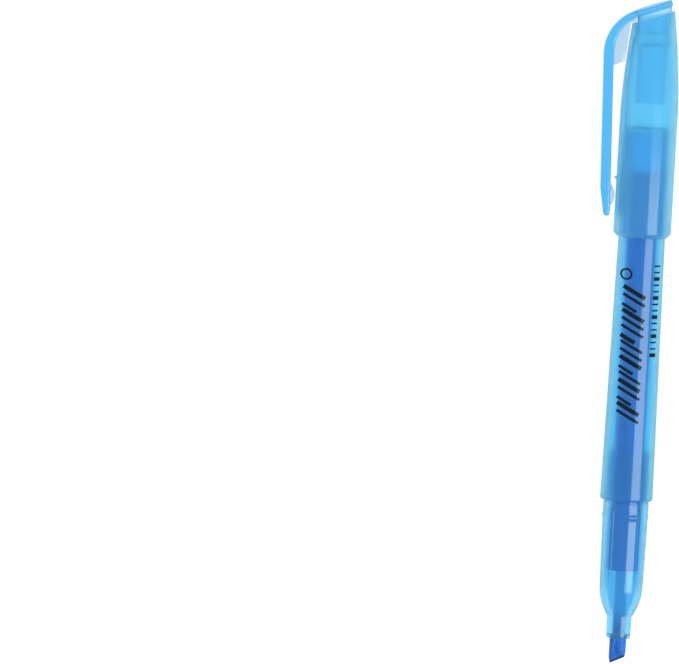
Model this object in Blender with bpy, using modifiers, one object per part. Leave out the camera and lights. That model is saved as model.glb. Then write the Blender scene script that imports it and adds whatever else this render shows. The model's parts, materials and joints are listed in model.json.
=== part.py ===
"""A capped highlighter pen, lying on a table with its cap pushed on to the barrel's rear end.

The pen is built upright in its own frame and then laid down by the empty called pen_axis.
In the pen's own frame the axis is Z, zero at the nib's lowest point and rising towards the cap,
and the clip is on the -X side. On the table the nib points along +X, the clip towards -Y, and
the pen has rolled until both the cap and an edge of the clip touch the table at Z = 0.
The world origin is on the table, under the middle of the pen's bounding box.
"""

import math

import bmesh
import bpy
from mathutils import Matrix, Vector

MM = 0.001
TURN_STEPS = 32
ARCH_STEPS = 9

# Front section and nib
NIB_REACH = 5.3 * MM            # from the nib's lowest point to the nozzle's end
NIB_SHAFT_RADIUS = 1.25 * MM
NIB_EDGE_THICKNESS = 1.3 * MM   # of the chisel, where its flats start
NIB_FLAT_START = 0.7 * MM       # above the nib's lowest point
NIB_EDGE_SHARE = 0.85           # of the head's radius, which the writing edge reaches at its low end
NIB_FLAT_ANGLE = math.radians(13)
NIB_SLANT = math.radians(26)
NIB_SIDE_LEAN = math.radians(12)  # of the sides, which draw in towards the writing edge
NIB_SEAT = 0.45 * MM            # the head's shoulder stands this far inside the nozzle
NIB_IN_RESERVOIR = 4.0 * MM
NOZZLE_LENGTH = 4.8 * MM
NOZZLE_RADIUS = 2.52 * MM
NOZZLE_EDGE = 0.4 * MM
NOZZLE_WALL = 0.63 * MM
NOZZLE_TAPER = 0.06 * MM        # the nozzle is wider by this at its root
NOZZLE_STEP = 0.2 * MM          # from the nozzle out to where the shoulder starts
SEAT_CONE = 0.3 * MM            # length of the cone between the head's seat and the shaft's bore
SHOULDER_LENGTH = 5.6 * MM
GRIP_LENGTH = 18.8 * MM         # from the shoulder to the barrel's front rim
GRIP_FRONT_RADIUS = 4.46 * MM
GRIP_REAR_RADIUS = 4.76 * MM
GRIP_SWELL_POWER = 0.6          # below 1, the grip widens most just behind the shoulder
SECTION_WALL = 0.72 * MM        # at the shoulder, where the bore is widest for its outside
SECTION_RIB_COUNT = 4
SECTION_RIB_WIDTH = 0.5 * MM
SECTION_RIB_LENGTH = 14.0 * MM  # from the bore's front end
SNAP_BEAD_SETBACK = 3.3 * MM    # in front of the barrel's rim
SNAP_BEAD_HEIGHT = 0.12 * MM
SNAP_BEAD_LENGTH = 1.2 * MM
PLUG_LENGTH = 10.3 * MM         # of the section, inside the barrel

# Barrel and ink
BARREL_LENGTH = 78.5 * MM
BARREL_FRONT_RADIUS = 5.5 * MM
BARREL_REAR_RADIUS = 4.6 * MM
BARREL_WALL = 0.95 * MM
BARREL_RIM_EDGE = 0.5 * MM
BARREL_END_EDGE = 1.0 * MM
BARREL_END_CORNER = 0.3         # share of the end edge that its middle facet stands in from the corner
BARREL_END_WALL = 1.4 * MM
RIB_COUNT = 6
RIB_WIDTH = 0.7 * MM
RIB_LENGTH = 22.0 * MM
RIB_HEIGHT = 0.18 * MM          # above the bore, where the bore is narrowest
RESERVOIR_SETBACK = 4.1 * MM    # of the ink reservoir's front, behind the shoulder
RESERVOIR_END_ROOM = 8.4 * MM   # behind the reservoir, to the bore's closed end
SLEEVE_WALL = 0.25 * MM

# Cap
POSTED_DEPTH = 23.2 * MM        # of barrel inside the cap
CAP_STRAIGHT = 26.2 * MM        # from the mouth to where the cap starts to narrow
CAP_LENGTH = 45.9 * MM          # from the mouth to the slanted top, on the axis
CAP_TOP_RADIUS = 4.35 * MM
CAP_NARROWING_POWER = 1.6
CAP_WALL = 1.0 * MM
CAP_TOP_WALL = 0.79 * MM
CAP_MOUTH_EDGE = 0.8 * MM
TOP_SLANT = math.radians(19.5)
INNER_CAP_WALL = 0.45 * MM
INNER_CAP_ROOM = 4.8 * MM       # from the barrel's end to the seal cup's mouth
INNER_CAP_FLANGE = 1.1 * MM

# Clip
CLIP_WIDTH = 4.4 * MM
CLIP_GAP = 2.1 * MM             # between the arm's root and the cap
CLIP_THICKNESS = 2.05 * MM
CLIP_ARCH_RADIUS = 9.5 * MM
CLIP_SPLIT_SETBACK = 10.8 * MM  # of the arm's hinge line, below the cap's top on the axis
CLIP_ARM_LENGTH = 31.0 * MM
CLIP_LEAN = math.radians(1.9)   # the arm comes closer to the cap towards its tip
CLIP_TIP_THICKNESS = 1.3 * MM
CLIP_TIP_OFFSET = 0.1 * MM      # the round tip stands inside the arm's inner face by this
CLIP_TIP_START, CLIP_TIP_END = 190, 350  # degrees round the tip, from the outer face to the nub
CLIP_THINNING_POWER = 1.5       # how the arch grows thicker from the plate to the arm
CLIP_TAPER_LENGTH = 5.6 * MM
NUB_SETBACK = 4.3 * MM          # of the nub's peak, from the arm's tip
NUB_LENGTH = 4.6 * MM
NUB_FLAT = 0.5 * MM             # length of the nub's top
PLATE_THICKNESS = 1.1 * MM
PLATE_INSET = 0.2 * MM          # the plate is narrower than the cap's top by this all round
PLATE_EDGE = 0.2 * MM           # the plate's top face is smaller by this all round
PLATE_OFFSET = -0.35 * MM       # the plate's middle stands this far towards the clip
PLATE_PROUD = 0.08 * MM         # of the round plate, above and below the arch that runs into it
GROOVE_WIDTH = 1.25 * MM        # between the top plate and the cap's slanted top
TOP_PLUG_DEPTH = 3.6 * MM       # below the cap's top, on the axis
WEB_THICKNESS = 0.6 * MM
WEB_STEP = 1.0 * MM             # the web's lower edge rises this much towards the cap
WEB_ROOT = 0.6 * MM             # how far the web runs into the arch and the plug
WEB_END = 0.6                   # share of the groove and of the plate that the web's end reaches
WEB_ARCH_START, WEB_ARCH_END = 120, 178  # degrees round the arch's centre that the web follows

# Clearances
RUNNING_GAP = 0.13 * MM         # cap on barrel
PRESS_GAP = 0.06 * MM           # pieces that are pressed together and share their facets
SEAT_GAP = 0.3 * MM             # end faces that stand against each other
SLIP_GAP = 0.15 * MM            # reservoir in its bores
NUB_GAP = 0.25 * MM             # nub to cap, at rest
FLEX_GAP = 0.3 * MM             # between the clip's root and its arm

# Heights along the pen's axis
NOZZLE_END = NIB_REACH
SHOULDER_START = NOZZLE_END + NOZZLE_LENGTH
SHOULDER_END = SHOULDER_START + SHOULDER_LENGTH
BARREL_FRONT = SHOULDER_END + GRIP_LENGTH
PLUG_END = BARREL_FRONT + PLUG_LENGTH
BARREL_REAR = BARREL_FRONT + BARREL_LENGTH
BARREL_FLOOR = BARREL_REAR - BARREL_END_WALL
RESERVOIR_FRONT = SHOULDER_END + RESERVOIR_SETBACK
RESERVOIR_REAR = BARREL_FLOOR - RESERVOIR_END_ROOM
CAP_MOUTH = BARREL_REAR - POSTED_DEPTH
CAP_NARROWS = CAP_MOUTH + CAP_STRAIGHT
CAP_TOP = CAP_MOUTH + CAP_LENGTH
INNER_CAP_MOUTH = BARREL_REAR + INNER_CAP_ROOM
TOP_PLUG_END = CAP_TOP - TOP_PLUG_DEPTH
FLEX_HEIGHT = CAP_TOP - CLIP_SPLIT_SETBACK
ARM_TIP = FLEX_HEIGHT - CLIP_ARM_LENGTH


def along(start, end, share):
    return start + (end - start) * share


def barrel_radius(height):
    """The barrel's outer radius, which tapers evenly from front to rear."""
    return along(BARREL_FRONT_RADIUS, BARREL_REAR_RADIUS, (height - BARREL_FRONT) / BARREL_LENGTH)


NIB_HEAD_RADIUS = NOZZLE_RADIUS - NOZZLE_WALL - SLIP_GAP
SLEEVE_RADIUS = BARREL_REAR_RADIUS - BARREL_WALL - RIB_HEIGHT - SLIP_GAP
SLEEVE_BORE = SLEEVE_RADIUS - SLEEVE_WALL
RESERVOIR_RADIUS = SLEEVE_BORE - PRESS_GAP
CAP_RADIUS = barrel_radius(CAP_MOUTH) + RUNNING_GAP + CAP_WALL
INNER_CAP_BORE = NOZZLE_RADIUS + RUNNING_GAP
INNER_CAP_RADIUS = INNER_CAP_BORE + INNER_CAP_WALL
TOP_PLUG_RADIUS = CAP_TOP_RADIUS - CAP_TOP_WALL - PRESS_GAP
PLATE_RADIUS = CAP_TOP_RADIUS - PLATE_INSET
CLIP_REACH = CAP_RADIUS + CLIP_GAP + CLIP_THICKNESS
RISE = math.tan(TOP_SLANT)


def cap_radius(height):
    """The cap's outer radius: straight, then narrowing faster and faster towards the top."""
    share = max(0.0, height - CAP_NARROWS) / (CAP_TOP - CAP_NARROWS)
    return CAP_RADIUS - (CAP_RADIUS - CAP_TOP_RADIUS) * share ** CAP_NARROWING_POWER


def steps(start, end, count):
    """Evenly spaced values from start to end, both included."""
    return [along(start, end, index / count) for index in range(count + 1)]


def arc(centre, radius, start, end, count):
    """Points of an arc; the angles are in degrees from +X towards +Z."""
    angles = [math.radians(angle) for angle in steps(start, end, count)]
    return [(centre[0] + radius * math.cos(a), centre[1] + radius * math.sin(a)) for a in angles]


def new_collection(name):
    collection = bpy.data.collections.new(name)
    bpy.context.scene.collection.children.link(collection)
    return collection


def plastic(name, colour, roughness, alpha=1.0):
    """A Principled material of the part's own colour and finish."""
    material = bpy.data.materials.new(name)
    material.use_nodes = True
    shader = material.node_tree.nodes["Principled BSDF"]
    shader.inputs["Base Color"].default_value = (*colour, 1)
    shader.inputs["Roughness"].default_value = roughness
    shader.inputs["Metallic"].default_value = 0.0
    shader.inputs["Alpha"].default_value = alpha
    return material


def place(data, name, collection, material=None):
    """An object for a mesh, parented to the pen's axis."""
    thing = bpy.data.objects.new(name, data)
    thing.parent = pen_axis
    collection.objects.link(thing)
    if material:
        data.materials.append(material)
    return thing


def turned(name, outline, closed, collection, material=None):
    """A round piece: an outline of (radius, height) points, turned about the pen's axis.

    The outline runs down the outside of the piece, and a closed one comes back up its bore.
    """
    mesh = bpy.data.meshes.new(name)
    count = len(outline)
    edges = [(index, index + 1) for index in range(count - 1)]
    if closed:
        edges.append((count - 1, 0))
    mesh.from_pydata([(radius, 0, height) for radius, height in outline], edges, [])
    thing = place(mesh, name, collection, material)
    screw = thing.modifiers.new("turn", "SCREW")
    screw.steps = screw.render_steps = TURN_STEPS
    screw.use_merge_vertices = True
    screw.merge_threshold = 0.000001
    screw.use_smooth_shade = True
    return thing


def flat_piece(name, outline, thickness, collection, material=None):
    """A flat piece that stands in the XZ plane: an outline of (x, height) points and a thickness."""
    curve = bpy.data.curves.new(name, "CURVE")
    curve.dimensions = "2D"
    curve.fill_mode = "BOTH"
    curve.extrude = thickness / 2
    spline = curve.splines.new("POLY")
    spline.points.add(len(outline) - 1)
    for point, (x, height) in zip(spline.points, outline):
        point.co = (x, height, 0, 1)
    spline.use_cyclic_u = True
    sketch = bpy.data.objects.new(name + "_sketch", curve)
    bpy.context.scene.collection.objects.link(sketch)
    bpy.context.view_layer.update()
    mesh = bpy.data.meshes.new_from_object(sketch.evaluated_get(bpy.context.evaluated_depsgraph_get()))
    bpy.data.objects.remove(sketch)
    mesh.transform(Matrix.Rotation(math.radians(90), 4, "X"))
    solid = bmesh.new()
    solid.from_mesh(mesh)
    bmesh.ops.remove_doubles(solid, verts=solid.verts, dist=0.000001)
    bmesh.ops.recalc_face_normals(solid, faces=solid.faces)
    solid.to_mesh(mesh)
    solid.free()
    mesh.name = name
    return place(mesh, name, collection, material)


def block(name, size, centre, turn, collection):
    """A box of the given size, turned about Y by an angle and placed at its centre."""
    mesh = bpy.data.meshes.new(name)
    solid = bmesh.new()
    bmesh.ops.create_cube(solid, size=1, matrix=Matrix.Diagonal((*size, 1)))
    solid.to_mesh(mesh)
    solid.free()
    thing = place(mesh, name, collection)
    thing.location = centre
    thing.rotation_euler = (0, turn, 0)
    return thing


def combine(thing, tool, operation):
    """Cut a tool out of a piece or join it to the piece; the tool itself is only a guide."""
    tool.hide_render = True
    tool.display_type = "WIRE"
    boolean = thing.modifiers.new(tool.name, "BOOLEAN")
    boolean.operation = operation
    boolean.solver = "EXACT"
    boolean.object = tool


def add_ribs(piece, tools, count, width, inner, outer, low, high):
    """Ribs along a round bore, from one radius out to another and from one height to another."""
    depth, middle = outer - inner, (inner + outer) / 2
    for index in range(count):
        angle = 2 * math.pi * (index + 0.5) / count
        centre = (middle * math.cos(angle), middle * math.sin(angle), (low + high) / 2)
        rib = block(f"{piece.name}_rib_{index}", (depth, width, high - low), centre, 0, tools)
        rib.rotation_euler = (0, 0, angle)
        combine(piece, rib, "UNION")


def make_barrel(parts, tools):
    """The barrel: a tapered tube, closed at the rear, with ribs that hold the reservoir."""
    end_corner = BARREL_END_EDGE * BARREL_END_CORNER
    outside = [
        (BARREL_REAR_RADIUS - BARREL_END_EDGE, BARREL_REAR),
        (barrel_radius(BARREL_REAR) - end_corner, BARREL_REAR - end_corner),
        (barrel_radius(BARREL_REAR - BARREL_END_EDGE), BARREL_REAR - BARREL_END_EDGE),
        (barrel_radius(BARREL_FRONT + BARREL_RIM_EDGE), BARREL_FRONT + BARREL_RIM_EDGE),
        (BARREL_FRONT_RADIUS - BARREL_RIM_EDGE, BARREL_FRONT),
    ]
    bore = [
        (BARREL_FRONT_RADIUS - BARREL_WALL, BARREL_FRONT),
        (barrel_radius(BARREL_FLOOR) - BARREL_WALL, BARREL_FLOOR),
    ]
    outline = [(0, BARREL_REAR), *outside, *bore, (0, BARREL_FLOOR)]
    finish = plastic("clear blue barrel", (0.12, 0.48, 0.86), 0.12, 0.45)
    barrel = turned("barrel", outline, False, parts, finish)
    rib_low = BARREL_FLOOR - RIB_LENGTH
    rib_outer = barrel_radius(rib_low) - BARREL_WALL / 2
    rib_high = BARREL_FLOOR + PRESS_GAP
    add_ribs(barrel, tools, RIB_COUNT, RIB_WIDTH, SLEEVE_RADIUS + SLIP_GAP, rib_outer, rib_low, rib_high)


def section_radius(height):
    """The front section's outer radius from the nozzle's root to its rear end."""
    if height < SHOULDER_END:
        share = (height - SHOULDER_START) / SHOULDER_LENGTH
        return along(NOZZLE_RADIUS + NOZZLE_STEP, GRIP_FRONT_RADIUS, math.sin(share * math.pi / 2))
    share = (height - SHOULDER_END) / GRIP_LENGTH
    return along(GRIP_FRONT_RADIUS, GRIP_REAR_RADIUS, min(share, 1) ** GRIP_SWELL_POWER)


def make_front_section(parts, tools):
    """Nozzle, shoulder, grip and the plug that snaps into the barrel, as one hollow moulding."""
    bead = BARREL_FRONT - SNAP_BEAD_SETBACK
    bead_radius = section_radius(bead) + SNAP_BEAD_HEIGHT
    front_seat = BARREL_FRONT - SEAT_GAP
    plug = [
        (barrel_radius(height) - BARREL_WALL - PRESS_GAP, height)
        for height in (PLUG_END, front_seat)
    ]
    grip_top = [(section_radius(height), height) for height in (front_seat, bead + SNAP_BEAD_LENGTH)]
    grip_bead = [(bead_radius, bead + SNAP_BEAD_LENGTH / 3), (bead_radius, bead - SNAP_BEAD_LENGTH / 3)]
    low_heights = steps(bead - SNAP_BEAD_LENGTH, SHOULDER_END, 3)
    low_heights += steps(SHOULDER_END, SHOULDER_START, 5)[1:]
    grip_low = [(section_radius(height), height) for height in low_heights]
    nozzle = [
        (NOZZLE_RADIUS + NOZZLE_TAPER, SHOULDER_START),
        (NOZZLE_RADIUS, NOZZLE_END + NOZZLE_EDGE),
        (NOZZLE_RADIUS - NOZZLE_EDGE, NOZZLE_END),
    ]
    shaft_bore = NIB_SHAFT_RADIUS + SLIP_GAP
    seat_bore = NIB_HEAD_RADIUS + SLIP_GAP
    rib_top = SLEEVE_RADIUS + SLIP_GAP
    wide_bore = max(rib_top, GRIP_FRONT_RADIUS - SECTION_WALL)
    bore_front = RESERVOIR_FRONT - SEAT_GAP
    bore = [
        (seat_bore, NOZZLE_END),
        (seat_bore, NOZZLE_END + NIB_SEAT + SEAT_GAP),
        (shaft_bore, NOZZLE_END + NIB_SEAT + SEAT_GAP + SEAT_CONE),
        (shaft_bore, SHOULDER_START),
        (wide_bore, bore_front),
        (wide_bore, PLUG_END),
    ]
    outline = [*plug, *grip_top, *grip_bead, *grip_low, *nozzle, *bore]
    finish = plastic("clear blue section", (0.18, 0.55, 0.88), 0.1, 0.4)
    section = turned("front_section", outline, True, parts, finish)
    rib_outer = wide_bore + SECTION_WALL / 2
    rib_low, rib_high = bore_front - SEAT_GAP, bore_front + SECTION_RIB_LENGTH
    add_ribs(section, tools, SECTION_RIB_COUNT, SECTION_RIB_WIDTH, rib_top, rib_outer, rib_low, rib_high)


def make_nib(parts, tools):
    """A round porous rod with a wider head, cut to a slanted chisel."""
    shaft_top = RESERVOIR_FRONT + NIB_IN_RESERVOIR
    head_top = NOZZLE_END + NIB_SEAT
    rod_end = -NIB_REACH
    outline = [
        (0, shaft_top),
        (NIB_SHAFT_RADIUS, shaft_top),
        (NIB_SHAFT_RADIUS, head_top),
        (NIB_HEAD_RADIUS, head_top),
        (NIB_HEAD_RADIUS, rod_end),
        (0, rod_end),
    ]
    nib = turned("nib", outline, False, parts, plastic("porous blue nib", (0.02, 0.16, 0.62), 0.75))
    size = 4 * NIB_REACH
    edge_start = -NIB_HEAD_RADIUS * NIB_EDGE_SHARE
    edge_rise = -2 * edge_start * math.tan(NIB_SLANT)
    slant_normal = Vector((math.sin(NIB_SLANT), 0, -math.cos(NIB_SLANT)))
    slant_centre = Vector((edge_start, 0, 0)) + slant_normal * size / 2
    slant_cut = block("nib_slant_cut", (size, size, size), slant_centre, -NIB_SLANT, tools)
    combine(nib, slant_cut, "DIFFERENCE")
    for side in (-1, 1):
        normal = Vector((0, side * math.cos(NIB_FLAT_ANGLE), -math.sin(NIB_FLAT_ANGLE)))
        point = Vector((0, side * NIB_EDGE_THICKNESS / 2, NIB_FLAT_START))
        flat = block(f"nib_flat_cut_{side}", (size, size, size), point + normal * size / 2, 0, tools)
        flat.rotation_euler = (-side * NIB_FLAT_ANGLE, 0, 0)
        combine(nib, flat, "DIFFERENCE")
    for side, height in ((-1, 0), (1, edge_rise)):
        normal = Vector((side * math.cos(NIB_SIDE_LEAN), 0, -math.sin(NIB_SIDE_LEAN)))
        point = Vector((-side * edge_start, 0, height))
        name = f"nib_side_cut_{side}"
        cut = block(name, (size, size, size), point + normal * size / 2, side * NIB_SIDE_LEAN, tools)
        combine(nib, cut, "DIFFERENCE")


def make_ink(parts):
    """The fibre core with a pocket for the nib's shaft, and the film round it."""
    pocket = NIB_SHAFT_RADIUS + SLIP_GAP
    pocket_end = RESERVOIR_FRONT + NIB_IN_RESERVOIR + SEAT_GAP
    core = [
        (0, RESERVOIR_REAR),
        (RESERVOIR_RADIUS, RESERVOIR_REAR),
        (RESERVOIR_RADIUS, RESERVOIR_FRONT),
        (pocket, RESERVOIR_FRONT),
        (pocket, pocket_end),
        (0, pocket_end),
    ]
    turned("ink_reservoir", core, False, parts, plastic("soaked fibre", (0.02, 0.14, 0.55), 0.8))
    film = [
        (SLEEVE_RADIUS, RESERVOIR_REAR),
        (SLEEVE_RADIUS, RESERVOIR_FRONT),
        (SLEEVE_BORE, RESERVOIR_FRONT),
        (SLEEVE_BORE, RESERVOIR_REAR),
    ]
    turned("reservoir_sleeve", film, True, parts, plastic("reservoir film", (0.1, 0.35, 0.8), 0.25, 0.5))


def cap_bore(height):
    """The cap's inner radius: a running fit on the barrel, then an even wall."""
    fitted = barrel_radius(min(height, BARREL_REAR)) + RUNNING_GAP
    return min(fitted, cap_radius(height) - CAP_WALL)


def make_cap_shell(parts, tools):
    """The cap's tube, cut off at a slant at the top, with a socket there for the clip's plug."""
    high = CAP_TOP + CAP_RADIUS * RISE
    narrowing = [(cap_radius(height), height) for height in steps(high, CAP_NARROWS, 10)]
    mouth = [(CAP_RADIUS, CAP_MOUTH + CAP_MOUTH_EDGE), (CAP_RADIUS - CAP_MOUTH_EDGE, CAP_MOUTH)]
    ledge = TOP_PLUG_END - SEAT_GAP
    bore = [(cap_bore(height), height) for height in (CAP_MOUTH, BARREL_REAR)]
    bore += [(cap_bore(height), height) for height in steps(CAP_NARROWS, ledge, 6)[1:]]
    socket = TOP_PLUG_RADIUS + PRESS_GAP
    outline = [*narrowing, *mouth, *bore, (socket, ledge), (socket, high)]
    finish = plastic("frosted blue cap", (0.1, 0.45, 0.85), 0.35, 0.6)
    shell = turned("cap_shell", outline, True, parts, finish)
    size = 4 * CAP_RADIUS
    up = Vector((-math.sin(TOP_SLANT), 0, math.cos(TOP_SLANT)))
    cut_centre = Vector((0, 0, CAP_TOP)) + up * size / 2
    top_cut = block("cap_top_cut", (size, size, size), cut_centre, -TOP_SLANT, tools)
    combine(shell, top_cut, "DIFFERENCE")


def make_inner_cap(parts):
    """The seal cup that closes round the nozzle, hung from a flange under the cap's socket."""
    flange_top = TOP_PLUG_END - 2 * SEAT_GAP
    flange_low = flange_top - INNER_CAP_FLANGE
    outline = [
        (0, flange_top),
        (cap_bore(flange_top) - PRESS_GAP, flange_top),
        (cap_bore(flange_low) - PRESS_GAP, flange_low),
        (INNER_CAP_RADIUS, flange_low - INNER_CAP_FLANGE),
        (INNER_CAP_RADIUS, INNER_CAP_MOUTH),
        (INNER_CAP_BORE + INNER_CAP_WALL / 4, INNER_CAP_MOUTH),
        (INNER_CAP_BORE, INNER_CAP_MOUTH + INNER_CAP_WALL),
        (INNER_CAP_BORE, flange_low),
        (0, flange_low),
    ]
    turned("inner_cap", outline, False, parts, plastic("seal cup", (0.12, 0.42, 0.82), 0.4, 0.6))


def plate_line(x, depth):
    """The height of a line that follows the top plate, so far below its top face."""
    on_axis = CAP_TOP + (GROOVE_WIDTH + PLATE_THICKNESS - depth) / math.cos(TOP_SLANT)
    return on_axis + x * RISE


ARCH_X = CLIP_ARCH_RADIUS - CLIP_REACH
ARCH_HEIGHT = plate_line(ARCH_X, CLIP_ARCH_RADIUS)


def clip_outer(height):
    """How far the arm's outer face is from the axis."""
    return CLIP_REACH - max(0.0, ARCH_HEIGHT - height) * math.tan(CLIP_LEAN)


def make_clip_root(parts, tools, material):
    """Top plate, plug, arch and web of the clip."""
    centre = (ARCH_X, ARCH_HEIGHT)
    slant = math.degrees(TOP_SLANT)
    outer_arc = arc(centre, CLIP_ARCH_RADIUS, 90 + slant, 180, ARCH_STEPS)
    inner_arc = []
    for index, angle in enumerate(steps(180, 90 + slant, ARCH_STEPS)):
        share = (index / ARCH_STEPS) ** CLIP_THINNING_POWER
        thickness = along(CLIP_THICKNESS, PLATE_THICKNESS, share)
        inner_arc += arc(centre, CLIP_ARCH_RADIUS - thickness, angle, angle, 1)[:1]
    split = FLEX_HEIGHT + FLEX_GAP / 2
    outline = [(0, plate_line(0, 0)), *outer_arc, (-clip_outer(split), split)]
    outline += [(CLIP_THICKNESS - clip_outer(split), split), *inner_arc]
    outline += [(0, plate_line(0, PLATE_THICKNESS))]
    root = flat_piece("clip_root", outline, CLIP_WIDTH, parts, material)

    across = Vector((-math.sin(TOP_SLANT), 0, math.cos(TOP_SLANT)))
    plate_mesh = bpy.data.meshes.new("clip_plate")
    solid = bmesh.new()
    bmesh.ops.create_cone(
        solid, cap_ends=True, segments=TURN_STEPS, radius1=PLATE_RADIUS, radius2=PLATE_RADIUS - PLATE_EDGE,
        depth=PLATE_THICKNESS + 2 * PLATE_PROUD,
    )
    solid.to_mesh(plate_mesh)
    solid.free()
    plate = place(plate_mesh, "clip_plate", tools)
    plate.location = (PLATE_OFFSET, 0, plate_line(PLATE_OFFSET, PLATE_THICKNESS / 2))
    plate.rotation_euler = (0, -TOP_SLANT, 0)
    combine(root, plate, "UNION")

    high = CAP_TOP + CAP_RADIUS
    plug_outline = [(0, high), (TOP_PLUG_RADIUS, high), (TOP_PLUG_RADIUS, TOP_PLUG_END), (0, TOP_PLUG_END)]
    plug = turned("clip_plug", plug_outline, False, tools)
    size = 4 * CAP_RADIUS
    cut_centre = Vector((0, 0, plate_line(0, PLATE_THICKNESS / 2))) + across * size / 2
    plug_cut = block("clip_plug_cut", (size, size, size), cut_centre, -TOP_SLANT, tools)
    combine(plug, plug_cut, "DIFFERENCE")
    combine(root, plug, "UNION")

    web_low = FLEX_HEIGHT + FLEX_GAP
    wall_heights = steps(web_low + WEB_STEP, CAP_TOP - CAP_TOP_RADIUS * RISE, 6)
    shell_side = [(-cap_radius(height) - SEAT_GAP, height) for height in wall_heights]
    in_plug = WEB_ROOT - TOP_PLUG_RADIUS
    end_depths = (PLATE_THICKNESS + GROOVE_WIDTH * WEB_END, PLATE_THICKNESS * WEB_END)
    first_angle, web_radius = WEB_ARCH_START + slant / 2, CLIP_ARCH_RADIUS - WEB_ROOT
    web_outline = [(CLIP_THICKNESS - WEB_ROOT - clip_outer(web_low), web_low), *shell_side]
    web_outline += [(in_plug, plate_line(in_plug, depth)) for depth in end_depths]
    web_outline += arc(centre, web_radius, first_angle, WEB_ARCH_END, ARCH_STEPS)
    web = flat_piece("clip_web", web_outline, WEB_THICKNESS, tools)
    combine(root, web, "UNION")


def make_clip_arm(parts, material):
    """The springing arm, whose origin is on the line that it bends about."""
    top = FLEX_HEIGHT - FLEX_GAP / 2
    taper = ARM_TIP + CLIP_TAPER_LENGTH
    inner_at_taper = -clip_outer(taper) + CLIP_THICKNESS
    tip_radius = CLIP_TIP_THICKNESS / 2
    nub_peak = ARM_TIP + NUB_SETBACK
    tip_centre = (inner_at_taper - tip_radius + CLIP_TIP_OFFSET, ARM_TIP + tip_radius)
    nub = [
        (inner_at_taper, nub_peak + NUB_LENGTH / 2),
        (-CAP_RADIUS - NUB_GAP, nub_peak + NUB_FLAT),
        (-CAP_RADIUS - NUB_GAP, nub_peak),
        (tip_centre[0] + tip_radius, nub_peak - NUB_LENGTH / 2),
    ]
    outline = [
        (-clip_outer(top) + CLIP_THICKNESS, top),
        (-clip_outer(top), top),
        (-clip_outer(taper), taper),
        *arc(tip_centre, tip_radius, CLIP_TIP_START, CLIP_TIP_END, 6),
        *reversed(nub),
    ]
    arm = flat_piece("clip_arm", outline, CLIP_WIDTH, parts, material)
    hinge = Vector((CLIP_THICKNESS / 2 - clip_outer(FLEX_HEIGHT), 0, FLEX_HEIGHT))
    arm.data.transform(Matrix.Translation(-hinge))
    arm.location = hinge


def lay_down():
    """Roll the pen on to its clip and lay it on the table, over the origin."""
    half_width = CLIP_WIDTH / 2
    corner = math.hypot(CLIP_REACH, half_width)
    roll = math.asin(CAP_RADIUS / corner) - math.atan(half_width / CLIP_REACH)
    side = Vector((0, math.cos(roll), math.sin(roll)))
    away = Vector((0, math.sin(roll), -math.cos(roll)))
    up_the_pen = Vector((-1, 0, 0))
    plate_end = (PLATE_RADIUS - PLATE_EDGE) * math.cos(TOP_SLANT)
    plate_end += PLATE_OFFSET - (PLATE_THICKNESS / 2 + PLATE_PROUD) * math.sin(TOP_SLANT)
    length = plate_line(plate_end, -PLATE_PROUD)
    clip_edge = CLIP_REACH * math.cos(roll) + half_width * math.sin(roll)
    turn = Matrix((side, away, up_the_pen)).transposed().to_4x4()
    middle = Vector((length / 2, (clip_edge - CAP_RADIUS) / 2, CAP_RADIUS))
    pen_axis.matrix_world = Matrix.Translation(middle) @ turn


for old in list(bpy.data.objects):
    bpy.data.objects.remove(old)

part_collection = new_collection("highlighter")
tool_collection = new_collection("highlighter_tools")
pen_axis = bpy.data.objects.new("pen_axis", None)
part_collection.objects.link(pen_axis)

clip_plastic = plastic("blue clip", (0.06, 0.42, 0.86), 0.25, 0.75)
make_barrel(part_collection, tool_collection)
make_front_section(part_collection, tool_collection)
make_nib(part_collection, tool_collection)
make_ink(part_collection)
make_cap_shell(part_collection, tool_collection)
make_inner_cap(part_collection)
make_clip_root(part_collection, tool_collection, clip_plastic)
make_clip_arm(part_collection, clip_plastic)
lay_down()
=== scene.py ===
"""Looks of the capped highlighter pen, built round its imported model.

Every piece is modelled upright on the pen's own axis, in millimetres from the nib's lowest point,
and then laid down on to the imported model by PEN_TO_WORLD.
"""
import json
import math

import bpy
from mathutils import Matrix, Vector


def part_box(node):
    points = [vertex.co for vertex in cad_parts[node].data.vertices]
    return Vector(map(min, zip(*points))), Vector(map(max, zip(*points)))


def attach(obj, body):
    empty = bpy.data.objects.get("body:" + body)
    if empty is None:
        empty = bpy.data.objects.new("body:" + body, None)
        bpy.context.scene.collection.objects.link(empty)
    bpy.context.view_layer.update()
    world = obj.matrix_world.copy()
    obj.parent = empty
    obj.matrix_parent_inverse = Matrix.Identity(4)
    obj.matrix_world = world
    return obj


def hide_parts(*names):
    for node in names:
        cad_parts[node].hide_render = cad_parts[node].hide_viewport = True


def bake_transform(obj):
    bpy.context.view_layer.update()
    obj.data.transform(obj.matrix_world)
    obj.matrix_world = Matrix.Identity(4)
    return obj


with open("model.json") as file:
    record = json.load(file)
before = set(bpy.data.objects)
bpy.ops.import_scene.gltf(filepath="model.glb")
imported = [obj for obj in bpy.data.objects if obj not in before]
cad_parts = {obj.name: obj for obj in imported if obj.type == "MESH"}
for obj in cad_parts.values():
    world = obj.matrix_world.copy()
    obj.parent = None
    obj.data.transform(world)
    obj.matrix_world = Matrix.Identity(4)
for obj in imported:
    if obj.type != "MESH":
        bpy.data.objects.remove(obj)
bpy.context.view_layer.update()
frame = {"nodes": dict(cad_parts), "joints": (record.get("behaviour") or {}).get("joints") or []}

MM = 0.001


# ------------------------------------------------------------------ the pen's own frame

def joint_axis(name):
    """The direction of a packed joint's axis."""
    return Vector(next(j for j in frame["joints"] if j["name"] == name)["axis"]).normalized()


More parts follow.
